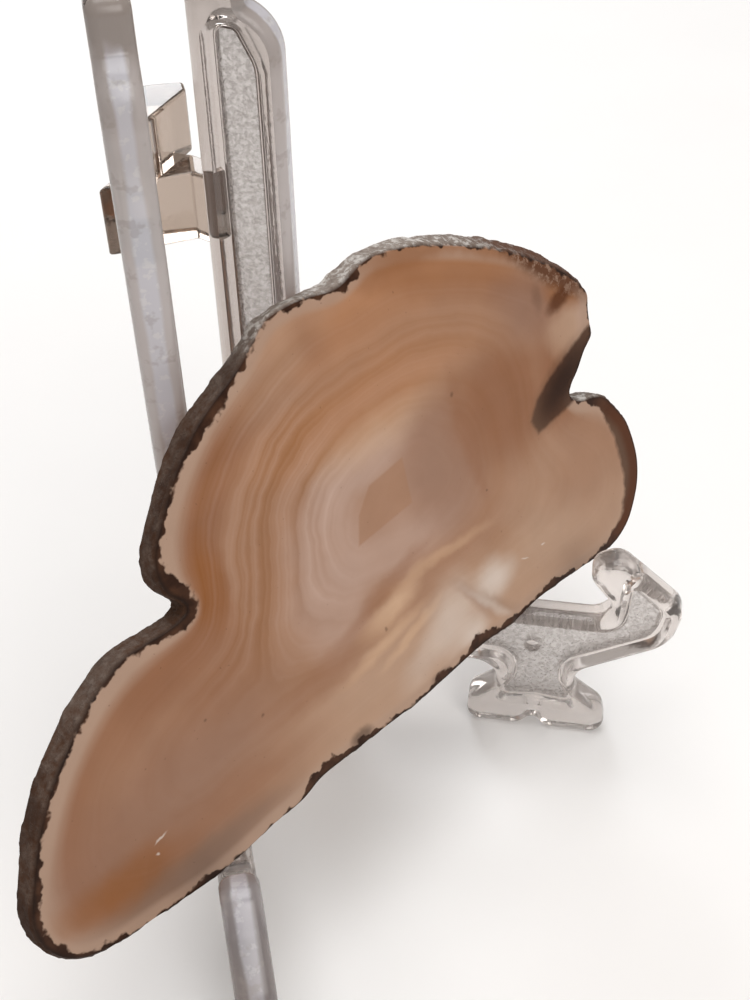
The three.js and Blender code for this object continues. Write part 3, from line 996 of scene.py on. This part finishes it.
# Zones of the polished face, laid one over the other: across, up, half length, half width,
# turn in degrees, softness of the edge, strength, colour.
FACE_ZONES = {
    "blush along the foot": (15, 6.5, 41, 7, 0, 0.6, 0.9, "blush"),
    "blush of the right lobe": (44, 10, 15, 12, 0, 0.5, 0.6, "blush"),
    "tan heart of the right lobe": (48, 15, 8, 6, -20, 0.8, 0.75, "tan"),
    "dull body of the left lobe": (-35, 15, 18, 7.5, 8, 0.6, 0.75, "mauve"),
    "tan of the left lobe": (-31, 24, 17, 5, 24, 0.7, 0.3, "russet"),
    "grey foot of the left lobe": (-36, 4.4, 15, 2.6, -2, 0.6, 0.85, "ash"),
    "amber low in the left lobe": (-46, 8.6, 8.8, 2.6, -5, 0.75, 0.9, "amber"),
    "tan flank of the left lobe": (-41, 23.5, 6, 3, 40, 0.8, 0.4, "tan"),
    "russet above the grey foot": (-27, 9, 13, 2.8, -3, 0.8, 0.6, "russet"),
    "amber beside the left notch": (-19.6, 35, 2.6, 6.2, -8, 0.6, 1.0, "amber"),
    "russet below the notch": (-24, 26, 7, 5, -30, 0.8, 0.5, "russet"),
    "lilac left of the core": (-2.5, 26.5, 6.5, 11, -16, 0.4, 0.8, "lilac"),
    "lilac above the core": (7.5, 37, 10, 3.4, 8, 0.45, 1.0, "lilac"),
    "lilac below the core": (7, 23.8, 14, 3.4, -6, 0.6, 0.8, "lilac"),
    "dusky field right of the core": (21.5, 30.5, 7.4, 9.5, 4, 0.5, 0.7, "mauve"),
    "russet field": (35.5, 32.5, 9.5, 8.5, -8, 0.55, 1.0, "russet"),
    "dark seam in the russet field": (27, 31, 1.2, 8.5, 0, 0.8, 0.55, "russet"),
    "gold above the core": (15, 44, 18, 3.4, 2, 0.7, 0.75, "gold"),
    "light above the core": (12, 40, 9, 2.6, 3, 0.8, 0.45, "sand"),
    "gold along the crown": (14, 57.6, 15, 2.8, -3, 0.7, 0.9, "gold"),
    "gold sweep": (12, 48, 22, 2.6, 4, 0.8, 0.5, "gold"),
    "gold under the crown": (17, 53.5, 17, 2.2, 0, 0.8, 0.7, "gold"),
    "pale dome": (1, 55.5, 9, 3.4, 22, 0.7, 0.45, "blush"),
    "shadow under the crown": (6.5, 56.5, 2.4, 3.6, 0, 0.8, 0.4, "russet"),
    "amber under the crown": (32, 56, 19, 3.6, -22, 0.6, 0.95, "amber"),
    "glow under the crown": (33, 55, 13, 3, -24, 0.8, 0.45, "gold"),
    "haze under the crown": (34, 46.5, 12, 4.2, -24, 0.8, 0.5, "tan"),
    "dull top right": (45.5, 42.5, 6.5, 4.5, -35, 0.7, 0.8, "mauve"),
    "pale above the right notch": (52.5, 36.5, 4.5, 3.2, 10, 0.6, 0.8, "blush"),
    "grey corner above the right notch": (56.8, 37, 1.8, 3.4, 0, 0.8, 0.6, "lilac"),
    "amber glow at the right corner": (53.5, 42.2, 4.2, 2.4, -35, 0.6, 0.9, "amber"),
    "pale streak, high": (4.5, 16.2, 5.5, 1.7, 14, 0.7, 0.9, "sand"),
    "pale streak, right": (16, 18.2, 9, 0.9, -4, 0.7, 0.5, "sand"),
    "pale streak, middle": (2, 12.4, 7, 0.9, 10, 0.7, 0.7, "sand"),
    "pale streak, low": (7, 11, 6, 0.8, 16, 0.6, 0.65, "sand"),
    "russet streak over them": (4, 19.4, 10, 1.1, 14, 0.7, 0.45, "russet"),
    "russet streak, left": (-8, 14.2, 9, 2.2, 4, 0.8, 0.5, "russet"),
    # The whitish zones down to the light seam are painted reflections and painted light shining
    # through the translucent stone.
    "milk, right": (24, 8.8, 3.4, 2.6, 12, 0.85, 0.85, "milk_and_glare"),
    "milk, middle": (14.5, 7.6, 5, 4.2, 60, 0.9, 0.6, "milk_and_glare"),
    "milk, foot": (17.6, 4, 2.6, 1.5, 0, 0.9, 0.7, "milk_and_glare"),
    "milk, left": (8, 6, 5, 2.2, 22, 0.8, 0.35, "milk_and_glare"),
    "shade between the milk": (19.4, 8.2, 0.9, 4.4, 32, 0.8, 0.5, "mauve"),
    "shade under the milk": (23.2, 5, 0.9, 5.2, 40, 0.9, 0.35, "ash"),
    "light seam": (21.8, 5.8, 0.6, 5.6, 38, 0.9, 0.45, "milk_and_glare"),
}
# Marks with a firm edge, in the same form.
FACE_MARKS = {
    "dark heart of the tongue": (48.3, 29.3, 6.4, 2.4, 24, 0.85, 0.95, "rind"),
    "amber border of the crown, left": (28, 59.2, 9, 1.8, -10, 0.7, 0.7, "amber"),
    "amber border of the crown, right": (41, 54.4, 9, 1.8, -32, 0.7, 0.75, "amber"),
    "rust mark": (52.2, 41.2, 3, 1.3, 14, 0.5, 0.85, "rind_warm"),
    "faint dark streak": (47.6, 43.3, 0.9, 1.8, -8, 0.8, 0.28, "rind_light"),
    "smoky smudge": (-7, 2.6, 1.9, 1.2, 0, 0.5, 0.6, "rind"),
    "small smudge": (9, 1.6, 1.8, 0.8, 0, 0.6, 0.4, "rind"),
    # Small whitish flecks on the polished front.
    "white_fleck, left": (-38.9, 10.9, 0.9, 0.16, 12, 0.6, 0.8, "milk_and_glare"),
    "white_fleck, far left": (-40.2, 9.3, 0.25, 0.2, 0, 0.6, 0.8, "milk_and_glare"),
    "white_fleck, right": (35.3, 8.1, 0.45, 0.15, -15, 0.6, 0.8, "milk_and_glare"),
    "white_fleck, middle right": (31, 8.3, 0.7, 0.14, -20, 0.6, 0.7, "milk_and_glare"),
}
# Corners of the dark tongue at the right notch, anticlockwise.
TONGUE = [(40.6, 24.5), (45.5, 24.9), (51.5, 25.5), (57.5, 32.5), (57, 34.8), (53, 33.6),
          (45, 30.8), (42, 29.3), (39.8, 27)]
# Where the bands stand out most, in the same form.
STRIPED_ZONES = [(-9, 38, 20, 12, 62, 0.5, 0.62), (14, 48, 22, 6, -4, 0.8, 0.2)]
# The rusty band with pale grains at the right shoulder, in the same form.
SHOULDER = (50.5, 47.6, 11.5, 2.3, -45, 0.5, 0.9)
# Where the rough rim is rusty, in the same form.
RUSTY_WALL = (51, 49, 13, 5, -44, 0.5, 0.72)
# Where the rind is wide, brown and smooth, in the same form.
RIGHT_RIND = (57.5, 8, 7, 14, -4, 0.35, 1.0)
# Small dark inclusions: across, up, radius.
FACE_SPECKS = [(2.8, 14.1, 0.3), (26.5, 38.3, 0.35), (-27.4, 20.5, 0.2), (-19.7, 15.6, 0.22),
               (27.5, 22.1, 0.2)]
# Corners of the darker core, anticlockwise.
CORE = [(3.2, 27.4), (14, 28), (14.8, 34.7), (8, 34.1), (4.8, 31.2)]
# Tones of the bands: depth under the rim in millimetres, paleness.
BAND_TONES = [
    (0, 0.55), (2.5, 0.6), (4.8, 0.42), (6.2, 0.6), (7.4, 0.48), (8.6, 0.66), (9.6, 0.5),
    (10.6, 0.38), (11.4, 0.55), (12.4, 0.36), (13.4, 0.3), (14.6, 0.56), (15.8, 0.7),
    (17.2, 0.36), (18.6, 0.58), (19.6, 0.48), (21, 0.62), (23, 0.56), (26, 0.5), (32, 0.5),
]
BAND_DEPTH = 32


def polygon_mask(point, corners, softness):
    """1 inside a convex polygon that runs anticlockwise, 0 outside."""
    inside = None
    for (x0, y0), (x1, y1) in zip(corners, corners[1:] + corners[:1]):
        side = math.hypot(x1 - x0, y1 - y0)
        inward = ((y0 - y1) / side, (x1 - x0) / side, 0)
        reach = vector_maths("DOT_PRODUCT", point, inward, output="Value")
        gap = reach - (x0 * inward[0] + y0 * inward[1])
        inside = gap if inside is None else maths("MINIMUM", inside, gap)
    return step_up(inside, -softness, softness)


def patch_mask(point, zone):
    x, y, half_length, half_width, turn, softness, strength = zone[:7]
    mask = signal(point.tree, "ShaderNodeGroup", {
        "Point": point, "Centre": (x, y, 0), "Size": (half_length, half_width, 1),
        "Turn": (0, 0, math.radians(turn)), "Softness": softness},
        node_tree=shared_group("Soft patch", soft_patch_group))
    return mask * strength


def warped_point(point, scale, amount):
    """The point, shifted by a smooth noise so that edges drawn with it wander."""
    drift = signal(point.tree, "ShaderNodeTexNoise",
                   {"Vector": point, "Scale": scale, "Detail": 3.0}, "Color")
    centred = vector_maths("SUBTRACT", drift, (0.5, 0.5, 0.5))
    return vector_maths("MULTIPLY_ADD", centred, (amount,) * 3, point)


def banded_face(settings, point):
    """Colour of the polished agate inside its rind."""
    rim, band, back = attributes(point.tree, "rim", "band", "back")
    wander = (noise(point, 0.1, 3.0) - 0.5) * 3.0
    depth = band + wander * step_up(band, 1.0, 10.0)
    place = depth / BAND_DEPTH
    colour = ramp(place, [
        (0.0, settings.cream), (0.06, settings.cream), (0.11, settings.russet),
        (0.2, settings.russet), (0.27, settings.tan), (0.6, settings.tan), (1.0, settings.lilac)])
    drifted = warped_point(point, 0.16, 3.0)
    for zone in FACE_ZONES.values():
        colour = blend(patch_mask(drifted, zone), colour, getattr(settings, zone[7]))
    colour = blend(polygon_mask(point, CORE, 0.25) * 0.75, colour, settings.tan)
    colour = blend(step_up(rim, 2.6, 1.4) * 0.75, colour, settings.cream)

    tones = ramp(place, [(at / BAND_DEPTH, (tone,) * 3) for at, tone in BAND_TONES])
    threads = noise(depth, 1.3, detail=1.5, dimensions="1D")
    stripes = (tones - 0.5) + (threads - 0.5) * 0.5
    striped = [patch_mask(drifted, zone) for zone in STRIPED_ZONES]
    swing = stripes * (0.12 + maths("MAXIMUM", *striped))
    mottle = (noise(point, 0.22, 4.0) - 0.5) * 0.14
    colour = signal(point.tree, "ShaderNodeHueSaturation", {
        "Color": colour, "Saturation": 1.0 - swing * 0.6, "Value": (1.0 + mottle) + swing * 0.75})

    edge = warped_point(point, 0.7, 0.9)
    shades = blend(step_up(axis(point, "X"), 40, 45), settings.rind_smoke, settings.rind_light)
    tongue = polygon_mask(warped_point(point, 0.9, 0.5), TONGUE, 0.4)
    colour = blend(tongue * 0.92, colour, shades)
    for mark in FACE_MARKS.values():
        mask = patch_mask(edge, mark)
        if mark[7] == "milk_and_glare":
            mask = mask * (1.0 - back)
        colour = blend(mask, colour, getattr(settings, mark[7]))
    for x, y, radius in FACE_SPECKS:
        spot = patch_mask(edge, (x, y, radius, radius, 0, 0.6, 0.4))
        colour = blend(spot, colour, settings.rind)
    dust = step_up(noise(point, 1.8, detail=1.0), 0.75, 0.8)
    return blend(dust * 0.25, colour, settings.rind)


def rind_colour(settings, point, rim, pale, warm):
    """Dark rind, broad and brown where warm, with an almost black outermost line of painted shadow
    at the edge of the face, weaker where the wall is pale.
    """
    smoky = step_up(noise(point, 0.35, detail=3.0), 0.35, 0.7)
    dark = blend(smoky, settings.rind, settings.rind_light)
    broad = blend(step_up(rim, 1.6, 3.6), settings.rind_warm, settings.rind_smoke)
    # Painted shadow along the outer edge, weaker where the rim is pale.
    outermost = step_up(rim, 0.9, 0.3) * (0.75 - pale * 0.75)
    return blend(outermost, blend(warm, dark, broad), settings.rind_edge_shadow)


def wall_colour(settings, point, pale, lumps, crust):
    """Rough natural wall: dark or pale, the paleness partly painted light, stained, rusty at one
    shoulder and frosted.
    """
    swing = (lumps - 0.5) * (0.6 + pale * 1.5)
    rough = blend(maths("ADD", pale, swing, clamp=True), settings.wall_dark, settings.wall_pale)
    stains = step_up(noise(point, 0.12, detail=3.0), 0.44, 0.6)
    rough = blend(stains * (step_up(pale, 0.5, 0.1) * 0.6), rough, settings.rind)
    rusty = patch_mask(point, RUSTY_WALL)
    rough = blend(rusty, rough, settings.rind_warm)
    frosted = crust * step_up(pale, 0.25, 0.8) * (0.8 - rusty * 0.5)
    return blend(frosted, rough, settings.wall_frost)


def agate_material(settings, matrix):
    """Banded agate: polished in front, sawn behind, dark rind and rough natural wall."""
    material, shader, _ = new_material("polished_agate")
    point = millimetre_point(material.node_tree, matrix)
    rim, rind, pale, wall, back = attributes(point.tree, "rim", "rind", "pale", "wall", "back")
    base = banded_face(settings, point)
    crust = step_up(noise(point, 0.8, detail=4.0, roughness=0.7), 0.48, 0.6)
    shoulder = patch_mask(warped_point(point, 0.7, 0.9), SHOULDER)
    base = blend(shoulder, base, settings.rind_warm)
    base = blend(crust * shoulder * 0.6, base, settings.cream)

    warm = patch_mask(point, RIGHT_RIND)
    jag = noise(point, 0.55, detail=2.5) - 0.5
    ragged = rim + jag * (2.6 - warm * 1.4)
    inside = step_up(ragged - rind, -0.12, 0.25 + warm * 0.7)
    face = blend(inside, rind_colour(settings, point, rim, pale, warm), base)
    lumps = noise(point, 0.8, detail=4.0, roughness=0.65)
    rough = wall_colour(settings, point, pale, lumps, crust)
    connect(blend(wall, face, rough), shader.inputs["Base Color"])

    roughness, relief = surface_wear(point, 0.3, settings.polish, 0.1)
    matt = maths("MAXIMUM", back * 0.35, wall * 0.5)
    connect(roughness + matt + (1.0 - inside) * 0.15, shader.inputs["Roughness"])
    shader.inputs["IOR"].default_value = AGATE_IOR
    shader.inputs["Specular IOR Level"].default_value = AGATE_SPECULAR
    bump(shader, 0.6, 0.35 * MM, signal(
        point.tree, "ShaderNodeMix", {0: wall, 2: relief * 0.1, 3: lumps + crust * 0.4}))
    return material


def build_side_frame(settings, side, body, block, with_pin, haze):
    matrix = turn_to_frame(side, settings.half_angle)
    label = "right" if side > 0 else "left"
    materials = [plastic_material(f"{label}_{look}_plastic", settings, matrix, look)
                 for look in LOOKS]
    plate = side_plate(f"{label}_frame", settings, materials, haze)
    plate.data.transform(matrix)
    combine(plate, hinge_block(block, materials), "UNION")
    radius = HINGE_PIN["radius"]
    if with_pin:
        pin = hinge_pin(radius, HINGE_PIN["bottom"], HINGE_PIN["top"], materials)
        combine(plate, pin, "UNION")
    else:
        radius += HINGE_PIN["clearance"]
        hole = hinge_pin(radius, block["bottom"] - radius, block["top"] + radius, materials)
        combine(plate, hole, "DIFFERENCE")
    finish_piece(plate, FRAME_SHADING, f"{label}_side_frame", body)
    even_shading(plate, "block")


class OBJECT_OT_agate_side_frames(bpy.types.Operator):
    """Model both moulded side frames of the stand with their hinge blocks"""
    bl_idname = "object.agate_side_frames"
    bl_label = "Side Frames"
    bl_options = {"REGISTER", "UNDO"}

    def execute(self, context):
        settings = context.scene.agate_stand
        build_side_frame(settings, -1, "left_half", LEFT_BLOCK, False, (HAZY_SPINE, HAZY_LIP))
        build_side_frame(settings, 1, "right_half", RIGHT_BLOCK, True, (HAZY_SPINE,))
        return {"FINISHED"}


class OBJECT_OT_agate_slice(bpy.types.Operator):
    """Model the polished agate slice with its rough natural rim"""
    bl_idname = "object.agate_slice"
    bl_label = "Agate Slice"
    bl_options = {"REGISTER", "UNDO"}

    def execute(self, context):
        settings = context.scene.agate_slice
        thickness = settings.thickness / MM
        outline = slice_outline()
        normals = outward_normals(outline[:, :2])
        inner = outline[:, :2] - normals * POLISH_EDGE
        piece = flat_start("agate", inner, 0)
        cut_face_grid(piece, inner.min(0), inner.max(0))
        grow_wall(piece, outline, normals, thickness)
        close_back(piece, outline, normals, thickness)
        store_rim_values(piece, outline, thickness)
        roughen_wall(piece, settings.relief)
        matrix = lean_to_frame(settings.lean)
        piece.data.transform(matrix)
        piece.data.materials.append(agate_material(settings, matrix))
        finish_piece(piece, SLICE_SHADING, "agate_slice", "right_half")
        return {"FINISHED"}


def build_floor(settings):
    deselect_all()
    bpy.ops.mesh.primitive_plane_add(size=FLOOR_SIZE, location=(0, 0, 0))
    floor = bpy.context.object
    floor.name = "floor"
    material, shader, _ = new_material("plain_floor")
    shader.inputs["Roughness"].default_value = 0.6
    mottle = noise(object_point(material.node_tree), 30.0, detail=3.0)
    darker = tuple(0.97 * c for c in settings.floor_colour)
    connect(blend(mottle, settings.floor_colour, darker), shader.inputs["Base Color"])
    floor.data.materials.append(material)


def build_lights(settings):
    world = bpy.data.worlds.new("soft sky")
    world.use_nodes = True
    background = world.node_tree.nodes["Background"]
    background.inputs["Color"].default_value = (*settings.sky_colour, 1)
    background.inputs["Strength"].default_value = settings.sky_strength
    bpy.context.scene.world = world
    for name, (place, aim, size, tint) in LIGHTS.items():
        light = bpy.data.lights.new(name, "AREA")
        light.shape = "RECTANGLE"
        light.size, light.size_y = size
        light.energy = getattr(settings, f"{name}_power")
        light.color = tint
        lamp = bpy.data.objects.new(name, light)
        bpy.context.scene.collection.objects.link(lamp)
        lamp.location = place
        lamp.rotation_euler = (Vector(aim) - Vector(place)).to_track_quat("-Z", "Y").to_euler()


def build_camera(settings):
    camera = bpy.data.cameras.new("camera")
    camera.lens = settings.lens
    camera.sensor_width = CAMERA_SENSOR
    camera.clip_start, camera.clip_end = CAMERA_CLIP
    eye = bpy.data.objects.new("camera", camera)
    bpy.context.scene.collection.objects.link(eye)
    eye.matrix_world = (Matrix.Translation(Vector(CAMERA_PLACE) * MM)
                        @ Matrix(CAMERA_AXES).transposed().to_4x4())
    bpy.context.scene.camera = eye


class OBJECT_OT_agate_stage(bpy.types.Operator):
    """Set up the plain floor, the soft studio light and the camera"""
    bl_idname = "object.agate_stage"
    bl_label = "Studio Stage"
    bl_options = {"REGISTER", "UNDO"}

    def execute(self, context):
        settings = context.scene.agate_stage
        build_floor(settings)
        build_lights(settings)
        build_camera(settings)
        context.scene.view_settings.view_transform = "Standard"
        return {"FINISHED"}


# Title, settings and operator of each part of the panel.
PARTS = {
    "Stand": ("agate_stand", StandSettings, "object.agate_side_frames"),
    "Slice": ("agate_slice", SliceSettings, "object.agate_slice"),
    "Stage": ("agate_stage", StageSettings, "object.agate_stage"),
}


class VIEW3D_PT_agate(bpy.types.Panel):
    bl_label = "Agate Slice"
    bl_idname = "VIEW3D_PT_agate"
    bl_space_type = "VIEW_3D"
    bl_region_type = "UI"
    bl_category = "Agate"

    def draw(self, context):
        for title, (name, settings, operator) in PARTS.items():
            box = self.layout.box()
            box.label(text=title)
            for field in settings.__annotations__:
                box.prop(getattr(context.scene, name), field)
            box.operator(operator)


CLASSES = (StandSettings, SliceSettings, StageSettings, OBJECT_OT_agate_side_frames,
           OBJECT_OT_agate_slice, OBJECT_OT_agate_stage, VIEW3D_PT_agate)


def register():
    for item in CLASSES:
        bpy.utils.register_class(item)
    for name, settings, _ in PARTS.values():
        setattr(bpy.types.Scene, name, PointerProperty(type=settings))


def unregister():
    for name, _, _ in PARTS.values():
        delattr(bpy.types.Scene, name)
    for item in reversed(CLASSES):
        bpy.utils.unregister_class(item)


def main():
    register()
    bpy.ops.object.agate_side_frames()
    bpy.ops.object.agate_slice()
    bpy.ops.object.agate_stage()


if __name__ == "__main__":
    main()
